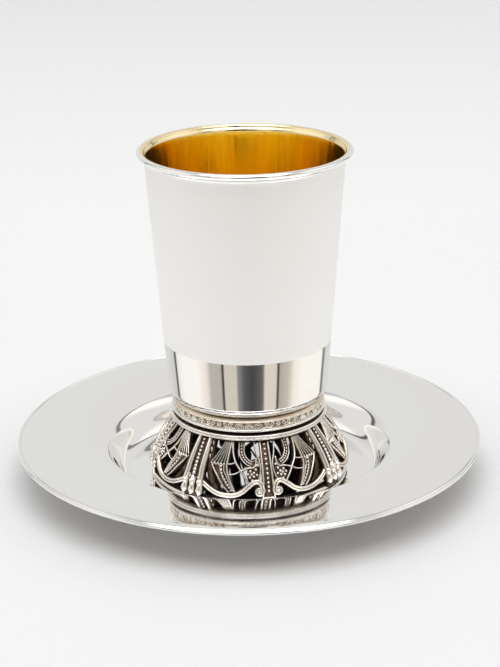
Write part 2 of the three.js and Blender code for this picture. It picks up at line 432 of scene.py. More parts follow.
def satin_and_polish(finish, band_top):
    """The body's fine satin above the polished band, and the turned polish of the band and the lip. The
    satin carries painted shade: its colour darkens from the band up to the lip.
    """
    material, shader = new_material("satin_silver", 1.0, finish.satin)
    height = axes(material, "Object")["Z"]
    blur, body_height = 0.15 * MM, 60 * MM
    above = remap(material, height, band_top - blur, band_top + blur, 0, 1)
    satin = calculate(material, "MULTIPLY", above, wear_value(material))
    turned = object_pattern(material, (1, 1, 60), 25.0, 4.0)
    polish = remap(material, turned, 0.35, 0.7, finish.polish, finish.polish + 0.03)
    bright = mix(material, turned, tinted(finish.silver, 0.98), finish.silver)
    # Painted shade: the satin's colour darkens over 60 mm above the band, towards the lip.
    rise = remap(material, height, band_top, band_top + body_height, 0, 1)
    body = mix(material, rise, finish.satin_low_lit, finish.satin_high_shaded)
    tone = mix(material, satin, bright, body)
    rough = mix(material, satin, polish, finish.satin, "FLOAT")
    grain = object_pattern(material, (1, 1, 8), 900.0, 2.0)
    shade(material, shader, tone, rough, grain, 0.03, 0.02 * MM)
    return material


def gilding(finish):
    """Bright gold with upright streaks, as a spun and burnished inside has, and pale where `wear` is 0."""
    material, shader = new_material("gilding", 1.0, 0.13)
    streaks = object_pattern(material, (1, 1, 0.05), 420.0, 4.0)
    full = mix(material, streaks, tinted(finish.gold, 0.9), tinted(finish.gold, 1.12))
    tone = mix(material, wear_value(material), finish.pale_gold, full)
    rough = remap(material, streaks, 0.3, 0.75, 0.08, 0.2)
    shade(material, shader, tone, rough, streaks, 0.8, 0.2 * MM)
    return material


def oxidised_silver(name, finish, levels):
    """Cast silver whose colour follows the attribute `wear`: dark oxide at the first of the four levels,
    then brown and warm silver, and bright metal at the last, with a mottled edge between them."""
    material, shader = new_material(name, 1.0, 0.3)
    mottle = object_pattern(material, (1, 1, 1), 700.0, 4.0)
    uneven = remap(material, mottle, 0.25, 0.75, -0.14, 0.14)
    worn = calculate(material, "ADD", wear_value(material), uneven)
    tones = (finish.oxide, finish.brown, finish.warm, finish.bright)
    tone = colour_ramp(material, worn, list(zip(levels, tones)))
    rough = remap(material, worn, levels[0], levels[-1], 0.55, 0.27)
    shade(material, shader, tone, rough, mottle, 0.25, 0.05 * MM)
    return material


# ---------------------------------------------------------------- saucer


def rim_slope(s):
    """Rise of the straight rim over its width."""
    return (s.edge_height - s.well_height) / (s.edge_radius - s.well_radius)


def saucer_profile(s):
    """The turned profile. The upper face is a flat floor, a Bezier S up the well and a straight rim that
    runs into a soft shoulder, part of a flat oval. A fine groove parts it from the round bead, and the
    underside is the upper line one sheet lower."""
    slope = rim_slope(s)
    low_bend, high_bend, shoulder_inset = 6.3 * MM, 5.2 * MM, 3.5 * MM
    wall = bezier(
        (s.floor_radius, s.sheet),
        (s.floor_radius + low_bend, s.sheet),
        (s.well_radius - high_bend, s.well_height - high_bend * slope),
        (s.well_radius, s.well_height),
        40,
    )
    rim = np.stack([line(s.well_radius, s.edge_radius, 24), line(s.well_height, s.edge_height, 24)], -1)[1:]
    floor = np.stack([line(0, s.floor_radius, 8), np.full(8, s.sheet)], -1)
    upper = np.concatenate([floor, wall, rim])
    step = np.gradient(upper, axis=0)
    across = np.stack([step[:, 1], -step[:, 0]], -1) / np.linalg.norm(step, axis=1)[:, None]
    lower = upper + across * s.sheet
    lower[0, 0] = 0.0
    bead = arc((s.radius - s.bead, s.bead_height), s.bead, -100, 185, 26)
    shoulder_centre = (s.radius - shoulder_inset, s.height - s.shoulder_rise)
    shoulder = arc(shoulder_centre, s.shoulder, 20, 105.9, 24, s.shoulder_rise)
    return np.concatenate([lower, bead, shoulder, upper[::-1][1:]])


class KIDDUSH_OT_saucer(bpy.types.Operator):
    """Make the round saucer"""

    bl_idname = "kiddush.saucer"
    bl_label = "Saucer"

    def execute(self, context):
        shape = Shape()
        revolve(shape, saucer_profile(context.scene.kiddush_saucer), segments=288)
        silver = polished_silver(context.scene.kiddush_finish)
        make_piece("saucer_silver", shape, [silver], "saucer")
        return {"FINISHED"}


# ---------------------------------------------------------------- beaker


def beaker_profile(b, low, high):
    """The turned profile and the number of points outside. It goes from the underside's middle round the
    corner, up the straight wall, round the oval lip and, from a short Bezier curve, down the inside to the
    bottom's middle."""
    lip_centre = np.array([b.high_radius + b.lip, high - b.lip_rise])
    under_lip = high - 2 * b.lip_rise
    bottom = np.stack([line(0, b.low_radius - b.corner, 8), np.full(8, low)], -1)
    corner = arc((b.low_radius - b.corner, low + b.corner), b.corner, -90, 0, 12)
    wall = np.stack([line(b.low_radius, b.high_radius, 60), line(low + b.corner, under_lip, 60)], -1)[1:]
    lip = arc(lip_centre, b.lip, -100, 165, 34, b.lip_rise)
    outside = np.concatenate([bottom, corner, wall, lip])
    below_lip, leave_lip, meet_wall = 0.2 * MM, (-0.12 * MM, -0.45 * MM), (0, 0.6 * MM)
    inner_top = np.array([b.high_radius - b.wall, under_lip - below_lip])
    flare = bezier(lip[-1], lip[-1] + leave_lip, inner_top + meet_wall, inner_top, 8)[1:]
    inner_low = np.array([b.low_radius - b.wall, low + b.base + b.corner])
    inner_wall = line(inner_top, inner_low, 50)[1:]
    floor_edge = inner_low[0] - b.corner
    inner_corner = arc((floor_edge, inner_low[1]), b.corner, 0, -90, 12)
    inner_floor = np.stack([np.linspace(floor_edge, 0, 9), np.full(9, low + b.base)], -1)[1:]
    return np.concatenate([outside, flare, inner_wall, inner_corner, inner_floor]), len(outside)


class KIDDUSH_OT_beaker(bpy.types.Operator):
    """Make the tapering beaker with its rolled lip and gilded inside"""

    bl_idname = "kiddush.beaker"
    bl_label = "Beaker"

    def execute(self, context):
        b, finish = context.scene.kiddush_beaker, context.scene.kiddush_finish
        low, high = BEAKER_BOX[0].z, BEAKER_BOX[1].z
        profile, outside = beaker_profile(b, low, high)
        polished_under_lip = 0.3 * MM
        satin_top = high - 2 * b.lip_rise - polished_under_lip
        shape = Shape()
        segments = 224
        revolve(shape, profile, segments, np.where(profile[:, 1] < satin_top, 1.0, 0.0))
        _, quads, triangles, _ = shape.arrays()
        lip_points_gilt = 10
        gilt_from = (outside - lip_points_gilt) * segments
        gilt = np.concatenate([quads.min(1) >= gilt_from - segments, triangles.min(1) >= gilt_from])
        materials = [satin_and_polish(finish, low + b.band), gilding(finish)]
        make_piece("beaker_silver", shape, materials, "beaker", gilt)
        return {"FINISHED"}


# ---------------------------------------------------------------- collar


def distance_to_path(u, v, path):
    """The least distance from each point (u, v) to the straight stretches of a path."""
    a, b = path[:-1], path[1:]
    along = b - a
    to_point = np.stack([u, v], -1)[..., None, :] - a
    t = np.clip((to_point * along).sum(-1) / np.maximum((along**2).sum(-1), 1e-12), 0, 1)
    return np.linalg.norm(to_point - t[..., None] * along, axis=-1).min(-1)


def ridge(distance, half_width):
    """A round ridge: the square root of 1 minus the squared share of the half width."""
    return np.sqrt(np.clip(1 - (distance / half_width) ** 2, 0, 1))


def spiral(centre, outer, inner, start, turns, count):
    """A spiral whose radius shrinks evenly from outer to inner while its angle runs through the turns."""
    a = np.radians(start) + np.linspace(0, 2 * np.pi * turns, count)
    r = np.linspace(outer, inner, count)
    return np.stack([centre[0] + r * np.cos(a), centre[1] + r * np.sin(a)], -1)


def frieze_relief(u, v, pitch, height):
    """Height of the stamped frieze from 0 to 1, at distance u along it and v up it, in millimetres. Each
    pitch holds a shell of rays, and on either side of it nested arches, a C-scroll and a leaf. A rosette
    closes it. The height is the greatest of their ridges."""
    u = np.abs((u + pitch / 2) % pitch - pitch / 2)
    middle = height * 0.5
    relief = np.zeros_like(u)

    def add(value):
        np.maximum(relief, value, out=relief)

    for angle in (90, 68, 47, 28, 12):
        direction = np.array([np.cos(np.radians(angle)), np.sin(np.radians(angle))])
        foot = np.array([0.0, height * 0.12])
        ray = np.stack([foot + 0.3 * direction, foot + (1.1 + 0.7 * direction[1]) * direction])
        add(ridge(distance_to_path(u, v, ray), 0.19))
    from_arch = np.hypot(u - 3.3, (v - 0.15) * 0.95)
    for radius in (0.3, 0.95, 1.6):
        add(ridge(from_arch - radius, 0.2) * (np.abs(u - 3.3) < 1.6))
    scroll = spiral((6.3, middle), height * 0.42, 0.2, 150, -1.25, 48)
    add(ridge(distance_to_path(u, v, scroll), 0.23))
    stalk = smooth_line([(4.9, 0.3), (5.6, 0.35), (6.6, 0.15), (7.6, 0.35)], 16)
    add(ridge(distance_to_path(u, v, stalk), 0.18))
    leaf = smooth_line([(7.5, 0.3), (7.75, middle), (8.5, height * 0.86), (8.7, middle), (7.9, 0.3)], 28)
    add(ridge(distance_to_path(u, v, leaf), 0.22))
    across, up = u - pitch / 2, v - middle
    from_rosette = np.hypot(across, up)
    add(ridge(from_rosette - 0.62 - 0.16 * np.cos(6 * np.arctan2(up, across)), 0.2))
    add(ridge(from_rosette, 0.3))
    for edge in (0.0, height):
        add(0.85 * ridge(v - edge, 0.15))
    return relief


def collar_surface(c, low, high):
    """Points and wear on a grid that closes both ways. Going up, its rows are the underside, the oval
    moulding, a groove, the frieze with its relief, and a Bezier cove up to the ledge under the beaker."""
    rows, columns = 40, 1360
    ledge = high + 0.24 * MM
    under = [(c.inner_radius, low), (24.5 * MM, low), (26.4 * MM, low), (26.8 * MM, low + 0.1 * MM)]
    ring = arc((c.ring_radius - 0.7 * MM, low + c.ring_height), 0.7 * MM, -80, 80, 16, 0.52 * MM)
    groove = [(26.7 * MM, low + 1.2 * MM)]
    foot_of_cove, bend = (26.8 * MM, high - 0.66 * MM), (26.7 * MM, high - 0.2 * MM)
    cove = bezier(foot_of_cove, bend, (26.1 * MM, high + 0.2 * MM), (24.9 * MM, ledge), 8)
    over = [(24.4 * MM, ledge), (c.inner_radius, high)]
    below, above = np.concatenate([under, ring, groove]), np.concatenate([cove, over])
    below_wear = np.concatenate([[0.0, 0.0, 0.1, 0.2], np.full(len(ring) - 1, 1.0), [0.8, 0.15]])
    above_wear = np.concatenate([np.full(len(cove), 0.72), [0.72, 0.2]])

    frieze_z = np.linspace(low + 1.28 * MM, high - 0.72 * MM, rows)
    v = (frieze_z - frieze_z[0]) / MM
    a = np.linspace(0, 2 * np.pi, columns, endpoint=False)
    pitch = 2 * np.pi * c.frieze_radius / MM / c.repeats
    relief = frieze_relief(*np.meshgrid(a * c.frieze_radius / MM, v), pitch, v[-1])
    hollow = 0.15 * MM * np.sin(np.pi * v / v[-1])[:, None]
    frieze = c.frieze_radius + 0.1 * MM - hollow + c.relief * relief
    dark_line = np.exp(-(((relief - 0.22) / 0.14) ** 2))
    frieze_wear = 0.3 - 0.3 * dark_line + 0.75 * np.clip((relief - 0.35) / 0.4, 0, 1)

    spread = np.ones(columns)
    radius = np.concatenate([below[:, :1] * spread, frieze, above[:, :1] * spread])
    z = np.concatenate([below[:, 1], frieze_z, above[:, 1]])[:, None] * spread
    wear = np.concatenate([below_wear[:, None] * spread, frieze_wear, above_wear[:, None] * spread])
    return np.stack([radius * np.sin(a), -radius * np.cos(a), z], -1), wear


class KIDDUSH_OT_collar(bpy.types.Operator):
    """Make the collar with its stamped frieze over a rounded moulding"""

    bl_idname = "kiddush.collar"
    bl_label = "Collar"

    def execute(self, context):
        c = context.scene.kiddush_collar
        points, wear = collar_surface(c, COLLAR_BOX[0].z, COLLAR_BOX[1].z)
        shape = Shape()
        shape.add(points, grid_faces(*wear.shape, True, True), values=wear.ravel())
        material = oxidised_silver("stamped_silver", context.scene.kiddush_finish, (0.03, 0.2, 0.6, 1.0))
        make_piece("collar_silver", shape, [material], "collar")
        return {"FINISHED"}


# ---------------------------------------------------------------- foot


class Bulge:
    """The surface that the openwork lies on, by degrees from the strap and height over the table."""

    def __init__(self, f, low):
        self.neck, self.swell, self.drop = f.neck_radius, f.bulge, f.bulge_drop
        self.top = low + f.neck_height

    def radius(self, z):
        """Neck radius plus the swell times the sine of a quarter turn over the drop."""
        return self.neck + self.swell * np.sin(np.pi / 2 * (self.top - z) / self.drop)

    def place(self, angle, z, out=0.0):
        """The point at an angle and height, moved out along the surface's normal."""
        slope = -self.swell * np.pi / 2 / self.drop * np.cos(np.pi / 2 * (self.top - z) / self.drop)
        size = np.hypot(1.0, slope)
        radius = self.radius(z) + out / size
        turn = np.radians(angle)
        return np.stack([radius * np.sin(turn), -radius * np.cos(turn), z - out * slope / size], -1)

    def frame(self, angle, z):
        """Point and outward normal on the surface."""
        point = self.place(angle, z)
        return point, (self.place(angle, z, 1 * MM) - point) / MM


def section(half, middle=()):
    """A bar's section from its left half and its middle, with the right half mirrored. Its points are
    (across, up, wear), with across from -0.5 to 0.5 and up from 0, the back, to 1, the front."""
    return [*half, *middle, *((-across, up, wear) for across, up, wear in reversed(half))]


BACK = (-0.5, 0.0, 0.0)
ROUND_WIRE = section([BACK, (-0.5, 0.55, 0.25), (-0.36, 0.86, 0.8)], [(0.0, 1.0, 1.0)])
GROOVED = section(
    [BACK, (-0.5, 0.6, 0.3), (-0.42, 0.88, 0.85), (-0.27, 1.0, 1.0), (-0.12, 0.93, 0.8)], [(0.0, 0.8, 0.3)]
)
ROUND_BAR = section(
    [BACK, (-0.5, 0.4, 0.25), (-0.44, 0.66, 0.7), (-0.3, 0.88, 0.95), (-0.12, 0.98, 1.0)]
)
PLATE = section([BACK, (-0.5, 1.0, 0.1), (-0.2, 1.0, 0.2)])


def sweep(shape, bulge, points, width, section, lift, depth, count=22, shift=0.0, round_ends=False):
    """Carries a section along a line on the bulge. The line is a smooth curve through (degrees, height in
    mm); width, lift and shift across are in mm and may change along it. The section's top lies lift over the
    bulge and its back depth lower. Round ends narrow by the square root of 1 minus the fifth power of the
    distance from the middle."""
    path = smooth_line(points, count)
    z = path[:, 1] * MM
    here, normal = bulge.frame(path[:, 0], z)
    along = np.gradient(here, axis=0)
    along /= np.linalg.norm(along, axis=1)[:, None]
    across = np.cross(along, normal)
    t = np.linspace(0, 1, count)

    def along_line(value):
        value = np.atleast_1d(np.asarray(value, float))
        return np.interp(t, np.linspace(0, 1, len(value)), value) * MM

    wide = along_line(width)
    if round_ends:
        wide = wide * (1 - np.abs(2 * t - 1) ** 5) ** 0.5
    x, up, wear = np.array(section).T
    out = along_line(lift)[:, None] + (up - 1) * along_line(depth)[:, None]
    sideways = along_line(shift)[:, None] + wide[:, None] * x
    body = here[:, None] + across[:, None] * sideways[..., None] + normal[:, None] * out[..., None]
    ends = np.stack([body[0].mean(0), body[-1].mean(0)])
    sides = len(section)
    shape.add(
        np.concatenate([body.reshape(-1, 3), ends]),
        grid_faces(count, sides, False, True),
        end_fans(count, sides),
        np.append(np.tile(wear, count), [0.5, 0.5]),
    )


def beads(shape, bulge, places, radius, lift):
    """Small globes on the bulge at the places (degrees, height in mm). Each has rings of points, the sine of
    the angle from its pole wide and the cosine high, between two poles."""
    rings, sides = 4, 8
    places = np.asarray(places, float)
    centre = bulge.place(places[:, 0], places[:, 1] * MM, lift * MM)
    polar = np.linspace(0, np.pi, rings + 2)[1:-1, None]
    turn = np.linspace(0, 2 * np.pi, sides, endpoint=False)
    height = np.broadcast_to(np.cos(polar), (rings, sides))
    band = np.stack([np.sin(polar) * np.cos(turn), np.sin(polar) * np.sin(turn), height], -1)
    globe = np.concatenate([band.reshape(-1, 3), [[0, 0, 1], [0, 0, -1]]])
    quads = grid_faces(rings, sides, False, True)[:, ::-1]
    caps = end_fans(rings, sides)[:, [0, 2, 1]]
    offsets = (np.arange(len(places)) * len(globe))[:, None, None]
    shape.add(
        (centre[:, None] + globe * np.asarray(radius)[..., None, None] * MM).reshape(-1, 3),
        (quads + offsets).reshape(-1, 4),
        (caps + offsets).reshape(-1, 3),
        0.95,
    )


def row(points, count, start=0.0, end=1.0):
    """Places spread evenly along a smooth line, by its length in mm."""
    mm_per_degree = 0.6
    dense = smooth_line(points, 200)
    step = np.linalg.norm(np.diff(dense * (mm_per_degree, 1.0), axis=0), axis=1)
    run = np.append(0, np.cumsum(step))
    want = np.linspace(start, end, count) * run[-1]
    return np.stack([np.interp(want, run, dense[:, i]) for i in (0, 1)], -1)


def strap(shape, bulge):
    """The upright strap: a sunk bed with a row of beads between two thin rails that flare at the bottom."""
    spine = [(0, 22.4), (0, 14), (0, 7), (0, 4.6), (0, 2)]
    sweep(shape, bulge, spine, [2.6, 3.0, 3.4, 4.2, 5.2], PLATE, -0.55, 1.2)
    for side in (-1, 1):
        offsets = [side * x for x in (1.35, 1.5, 1.75, 2.05, 2.6)]
        sweep(shape, bulge, spine, 0.72, ROUND_WIRE, 0.12, 1.7, 26, offsets)
    beads(shape, bulge, row([(0, 20.9), (0, 6.6)], 11), 0.52, -0.35)
    sweep(shape, bulge, [(-3.6, 4.1), (3.6, 4.1)], 0.6, ROUND_WIRE, 0.0, 1.2, 8)


def claw(shape, bulge):
    """The upright claw: two soft rails with a row of beads in the channel between, over three toes."""
    spine = [(45, 22.4), (45, 14), (45, 9.0)]
    sweep(shape, bulge, spine, [4.6, 5.6, 6.4], PLATE, -0.1, 1.8)
    width, lift = [1.5, 1.8, 2.0, 2.1, 2.0], [0.8, 1.1, 1.25, 1.3, 1.6]
    for side in (-1, 1):
        offsets = [side * x for x in (2.0, 2.35, 2.6, 2.75, 3.1)]
        sweep(shape, bulge, spine, width, ROUND_BAR, lift, 2.8, 28, offsets)
    beads(shape, bulge, row([(45, 21.0), (45, 10.9)], 10), np.linspace(0.5, 0.74, 10), 0.42)
    width, lift, depth = [2.0, 2.75, 2.2, 2.8, 2.6], [1.0, 2.0, 1.45, 2.1, 1.5], [2.0, 2.8, 2.4, 2.8, 2.2]
    for side in (-1, 0, 1):
        at = 45 + side * 4.8
        top = 9.9 if side else 10.3
        toe = [(at - 0.3 * side, top), (at, 8.4), (at, 7.1), (at + 0.1 * side, 5.6), (at + 0.2 * side, 4.0)]
        sweep(shape, bulge, toe, width, ROUND_BAR, lift, depth, 28, round_ends=True)
    sweep(shape, bulge, [(45, 8), (45, 2)], [7.4, 6.8], PLATE, 0.05, 1.8, 6)


def curled_band(shape, bulge):
    """A band of small beads between two threads that curls down towards the shield."""
    spine = [(16.4, 22.4), (16.3, 19.5), (15.2, 17.6), (12.3, 16.0), (9.4, 15.3)]
    sweep(shape, bulge, spine, 1.7, PLATE, -0.75, 1.1)
    for side in (-1, 1):
        sweep(shape, bulge, spine, 0.42, ROUND_WIRE, -0.2, 1.4, 24, side * 0.85)
    beads(shape, bulge, row(spine, 10, 0.1, 0.97), 0.36, -0.55)


def shield(shape, bulge):
    """A small shield of berries beside the strap, in a thread that sweeps up to the ring."""
    body = [(7.0, 16.2), (8.0, 13.6), (8.8, 11.4), (9.6, 9.6)]
    sweep(shape, bulge, body, [1.2, 4.6, 4.4, 2.2], PLATE, -0.7, 1.2, 16)
    left = [(7.6, 22.4), (6.2, 18.6), (4.6, 16.4), (3.9, 14.2), (4.75, 11.7), (6.4, 10.0), (9.2, 9.3)]
    sweep(shape, bulge, left, [0.45, 0.5, 0.6, 0.6, 0.5], ROUND_WIRE, -0.05, 1.5, 36)
    top = [(6.5, 17.2), (6.9, 15.2), (8.7, 14.2), (11, 14.2), (13.2, 13.9), (16.8, 13.2)]
    sweep(shape, bulge, top, 0.62, ROUND_WIRE, 0.05, 1.5, 26)
    berries = [(7.0, 13.7), (8.2, 12.7), (10.4, 13.2), (11.8, 12.3), (10.7, 11.3), (8.3, 11.5),
               (6.4, 12.0), (9.3, 10.3), (6.0, 14.9), (9.6, 12.2)]
    beads(shape, bulge, berries, 0.5, -0.45)


def stems(shape, bulge):
    """The two long stems that part under the ring, and the short rungs that join them."""
    inner = [(23.2, 22.4), (21.9, 18.5), (19.9, 15.9), (17.0, 13.8), (14.1, 11.6), (11.0, 9.2)]
    outer = [(23.8, 22.4), (24.9, 17.3), (25.4, 15.2), (25.0, 13.5), (23.5, 11.4), (19.6, 6.4)]
    sweep(shape, bulge, inner, 0.7, ROUND_WIRE, 0.0, 2.2, 30)
    sweep(shape, bulge, outer, 0.74, ROUND_WIRE, 0.05, 2.2, 30)
    for rung in ([(19.8, 15.8), (22.6, 15.3), (25.4, 15.2)], [(16.3, 13.4), (19.6, 12.4), (23.8, 12.0)]):
        sweep(shape, bulge, rung, 0.55, ROUND_WIRE, -0.1, 1.9, 10)


def fan_and_leaf(shape, bulge):
    """A fan of threads under the ring that closes in an arch, over a long leaf with a beaded vein."""
    for top, end in ((24.9, 27.3), (25.4, 29.4), (26.1, 31.5), (26.9, 33.7), (27.8, 35.8)):
        middle = (top + 0.45 * (end - top), 19.0)
        sweep(shape, bulge, [(top, 22.4), middle, (end, 15.4)], [0.3, 0.42], ROUND_WIRE, -0.1, 1.7, 14)
    for left, right in ((27.2, 29.4), (29.4, 31.5), (31.5, 33.7), (33.7, 36.0)):
        arch = [(left, 15.4), ((left + right) / 2, 14.7), (right, 15.3)]
        sweep(shape, bulge, arch, 0.46, ROUND_WIRE, -0.05, 1.7, 9)
    blade = [(31, 15), (29.6, 12), (26.2, 9.2), (21.6, 6)]
    sweep(shape, bulge, blade, [4.3, 3.4, 2.4, 1.4], PLATE, -0.7, 1.3, 18)
    left = [(27.1, 15.3), (26.8, 13.2), (24.6, 11.0), (20.6, 6.6)]
    right = [(35.3, 15.0), (33.2, 13.2), (30.4, 11.3), (26.5, 8.3), (22.6, 5.9)]
    sweep(shape, bulge, left, 0.5, ROUND_WIRE, 0.0, 2.2, 22)
    sweep(shape, bulge, right, [0.45, 0.6, 0.6, 0.55, 0.5], ROUND_WIRE, 0.0, 2.2, 26)
    vein = [(31.0, 15.0), (30.2, 13.0), (27.8, 10.6), (23.6, 7.4)]
    sweep(shape, bulge, vein, 0.32, ROUND_WIRE, -0.3, 0.9, 18, 0.55)
    web = [(38.4, 22.4), (37.6, 17.5), (36.2, 12.5), (32.6, 8.2), (29.0, 5.8)]
    sweep(shape, bulge, web, [1.3, 1.7, 1.9, 1.9, 1.4], PLATE, -0.9, 1.7, 22)
    for top, end in ((21.6, 20.0), (19.5, 18.0), (17.5, 16.1)):
        sweep(shape, bulge, [(38.2, top), (37.7, end)], 0.55, ROUND_WIRE, -0.3, 0.9, 6, round_ends=True)
    beaded = row([(29.0, 14.4), (27.8, 12.0), (25.2, 9.8), (21.7, 6.9)], 9)
    beads(shape, bulge, beaded, np.linspace(0.46, 0.36, 9), -0.45)


def swag(shape, bulge):
    """The grooved band that hangs in a wave from claw to strap, and its volute: the band goes on in a spiral
    that closes on a boss."""
    turn = spiral((0.0, 0.0), 1.35, 0.35, 155, 1.15, 26)
    centre = np.array([5.5, 6.7])
    degrees_per_mm = 1.62
    wave = [(42.5, 10.2), (37.9, 8.1), (33.9, 6.7), (29.1, 5.5), (24, 5.1), (19.3, 5.4),
            (15.1, 6.6), (11.9, 8.2), (8.75, 9.5), (6.3, 9.8), (4.3, 8.9)]
    points = np.concatenate([wave, centre + turn * (degrees_per_mm, 1.0)])
    width = [1.7, 1.85, 1.85, 1.85, 1.8, 1.7, 1.5, 1.35, 1.15, 0.95, 0.7]
    sweep(shape, bulge, points, width, GROOVED, [0.4, 0.6, 0.62, 0.65, 0.7, 0.75], [2.2, 2.4, 2.4], 110)
    sweep(shape, bulge, [(2.9, 6.7), (8.1, 6.7)], 3.2, PLATE, 0.2, 1.6, 12, round_ends=True)
    beads(shape, bulge, [centre], 0.58, 0.4)


def top_rings(shape, f, neck, high):
    """The double moulding, turned: two stretches of ovals between a step and the flat top."""
    lower = arc((f.ring_radius - 0.45 * MM, high - 2.02 * MM), 0.42 * MM, -100, 62, 12)
    upper = arc((f.ring_radius - 0.5 * MM, high - 1.12 * MM), 0.5 * MM, -62, 92, 14, 0.46 * MM)
    step = [(24.5 * MM, neck + 0.2 * MM), (26.8 * MM, neck + 0.2 * MM), (27.0 * MM, neck + 0.7 * MM)]
    cove = [(27.0 * MM, high - 0.62 * MM), (26.6 * MM, high - 0.45 * MM)]
    flat_top = [(26.2 * MM, high), (24.5 * MM, high)]
    bright_low, bright_high = np.ones(len(lower) - 1), np.ones(len(upper) - 1)
    wear = np.concatenate([[0.0, 0.1, 0.2], bright_low, [0.4, 0.4], bright_high, [0.1, 0.0, 0.0, 0.0]])
    revolve(shape, np.concatenate([step, lower, upper, cove, flat_top]), 240, wear)


def base_ring(shape, f, low, top):
    """The ring that it stands on, turned: a flat bar whose outer edge is half an oval."""
    inner, shoulder, half_height = f.base_radius - f.base_width, f.base_radius - 1 * MM, f.base_height / 2
    edge = arc((f.base_radius - 0.6 * MM, low + half_height), 0.6 * MM, -80, 80, 12, half_height)
    profile = np.concatenate([[(inner, low), (shoulder, low)], edge, [(shoulder, top), (inner, top)]])
    revolve(shape, profile, 192, np.concatenate([[0.0, 0.2], np.full(len(edge), 0.9), [0.3, 0.0]]))


class KIDDUSH_OT_foot(bpy.types.Operator):
    """Make the bulging openwork foot: rings, straps, claws, scrolls, leaves and swags"""

    bl_idname = "kiddush.foot"
    bl_label = "Foot"

    def execute(self, context):
        f = context.scene.kiddush_foot
        low, high = FOOT_BOX[0].z, FOOT_BOX[1].z
        bulge = Bulge(f, low)
        upright, half_panel = Shape(), Shape()
        for part in (strap, claw):
            part(upright, bulge)
        for part in (curled_band, shield, stems, fan_and_leaf, swag):
            part(half_panel, bulge)
        shape = Shape()
        for k in range(4):
            turn = f.turn + k * np.pi / 2
            shape.copied(upright, turn)
            shape.copied(half_panel, turn)
            shape.copied(half_panel, turn, mirror=True)
        top_rings(shape, f, low + f.neck_height, high)
        base_ring(shape, f, low, low + f.base_height)
        material = oxidised_silver("oxidised_silver", context.scene.kiddush_finish, (0.08, 0.36, 0.62, 0.9))
        make_piece("foot_silver", shape, [material], "foot")
        return {"FINISHED"}

# ---------------------------------------------------------------- stage


# The tent's wall, as (degrees from the front, brightness in red, green and blue) times TENT_STRENGTH.
TENT_STRENGTH = 1.25
TENT = [
    (-180, (0.625, 0.625, 0.62)), (-150, (0.63, 0.625, 0.61)), (-129.5, (0.56, 0.55, 0.53)),
    (-127.5, (0.1, 0.1, 0.1)), (-124, (0.1, 0.1, 0.1)), (-121.5, (0.78, 0.76, 0.72)),
    (-108, (0.87, 0.86, 0.83)), (-78, (0.88, 0.865, 0.83)), (-63, (0.74, 0.68, 0.62)),
    (-57, (0.44, 0.42, 0.385)), (-40, (0.42, 0.405, 0.37)), (-38.7, (0.03, 0.03, 0.03)),
    (-36.4, (0.03, 0.03, 0.03)), (-35, (0.58, 0.54, 0.48)), (-17, (0.56, 0.52, 0.46)),
    (-15.5, (0.24, 0.24, 0.235)), (-6, (0.09, 0.09, 0.092)), (6, (0.05, 0.05, 0.052)),
    (18, (0.09, 0.09, 0.09)), (23, (0.16, 0.155, 0.15)), (25, (0.66, 0.60, 0.53)),
    (43, (0.62, 0.58, 0.51)), (44, (0.03, 0.03, 0.03)), (46.2, (0.03, 0.03, 0.03)),
    (47.5, (0.40, 0.365, 0.32)), (62, (0.52, 0.48, 0.42)), (72, (0.80, 0.77, 0.70)),
    (85, (0.88, 0.86, 0.82)), (130, (0.87, 0.85, 0.81)), (133, (0.2, 0.2, 0.2)),
    (138, (0.2, 0.2, 0.2)), (141, (0.62, 0.615, 0.60)),
]
# Lamps overhead: each grows from the first height to the second, in degrees, and some hang in front alone.
LAMPS = [
    (50, 60, (0.43, 0.44, 0.46), False),
    (51, 54, (2.8, 2.8, 2.8), True),
    (64, 68, (2.05, 2.07, 2.12), False),
]
LOW_WALL = (0.635, 0.63, 0.615)
BACKDROP = (0.62, 0.62, 0.62)


def studio_world(scene):
    """A white tent round the set, worked out from the direction alone: two bright sides, a paler back, a
    dark opening in front, thin dark seams and lamps overhead. The camera itself sees a plain backdrop."""
    world = bpy.data.worlds.new("studio")
    world.use_nodes = True
    scene.world = world
    direction = axes(world, "Generated")
    up = direction["Z"]
    front = calculate(world, "MULTIPLY", direction["Y"], -1.0)

    def between_heights(low, high, start, end):
        return remap(world, up, np.sin(np.radians(low)), np.sin(np.radians(high)), start, end)

    azimuth = calculate(world, "ARCTAN2", direction["X"], front)
    place = remap(world, azimuth, -np.pi, np.pi, 0, 1)
    tone = colour_ramp(world, place, [((degrees + 180) / 360, level) for degrees, level in TENT])
    tone = mix(world, between_heights(22, 32, 1, 0), tone, LOW_WALL, blend="DARKEN")
    facing = remap(world, front, 0.1, 0.35, 0, 1)
    for low, high, level, in_front in LAMPS:
        lit = between_heights(low, high, 0, 1)
        if in_front:
            lit = calculate(world, "MULTIPLY", lit, facing)
        tone = mix(world, lit, tone, level)
    seen = add_node(world, "ShaderNodeLightPath").outputs["Is Camera Ray"]
    background = world.node_tree.nodes["Background"]
    feed(world, background.inputs["Color"], mix(world, seen, tone, BACKDROP))
    feed(world, background.inputs["Strength"], TENT_STRENGTH)


def stage_object(scene, name, points, faces, material):
    """A helper for the stage, linked to the scene and left out of the cup's body."""
    mesh = bpy.data.meshes.new(name)
    mesh.from_pydata(points, [], faces)
    mesh.materials.append(material)
    piece = bpy.data.objects.new(name, mesh)
    scene.collection.objects.link(piece)
    return piece


def pale_table(scene, s):
    """The table, with painted shade that makes it a little darker far behind."""
    finish = scene.kiddush_finish
    material, shader = new_material("pale_table", 0.0, 0.6)
    # Painted shade: the table's colour darkens from 0.35 m to 1.1 m behind the cup.
    far = remap(material, axes(material, "Object")["Y"], 0.35, 1.1, 0, 1)
    feed(material, shader.inputs["Base Color"], mix(material, far, finish.floor, finish.far_floor_shaded))
    h = s.floor_size
    stage_object(scene, "table", [(-h, -h, 0), (h, -h, 0), (h, h, 0), (-h, h, 0)], [(0, 1, 2, 3)], material)


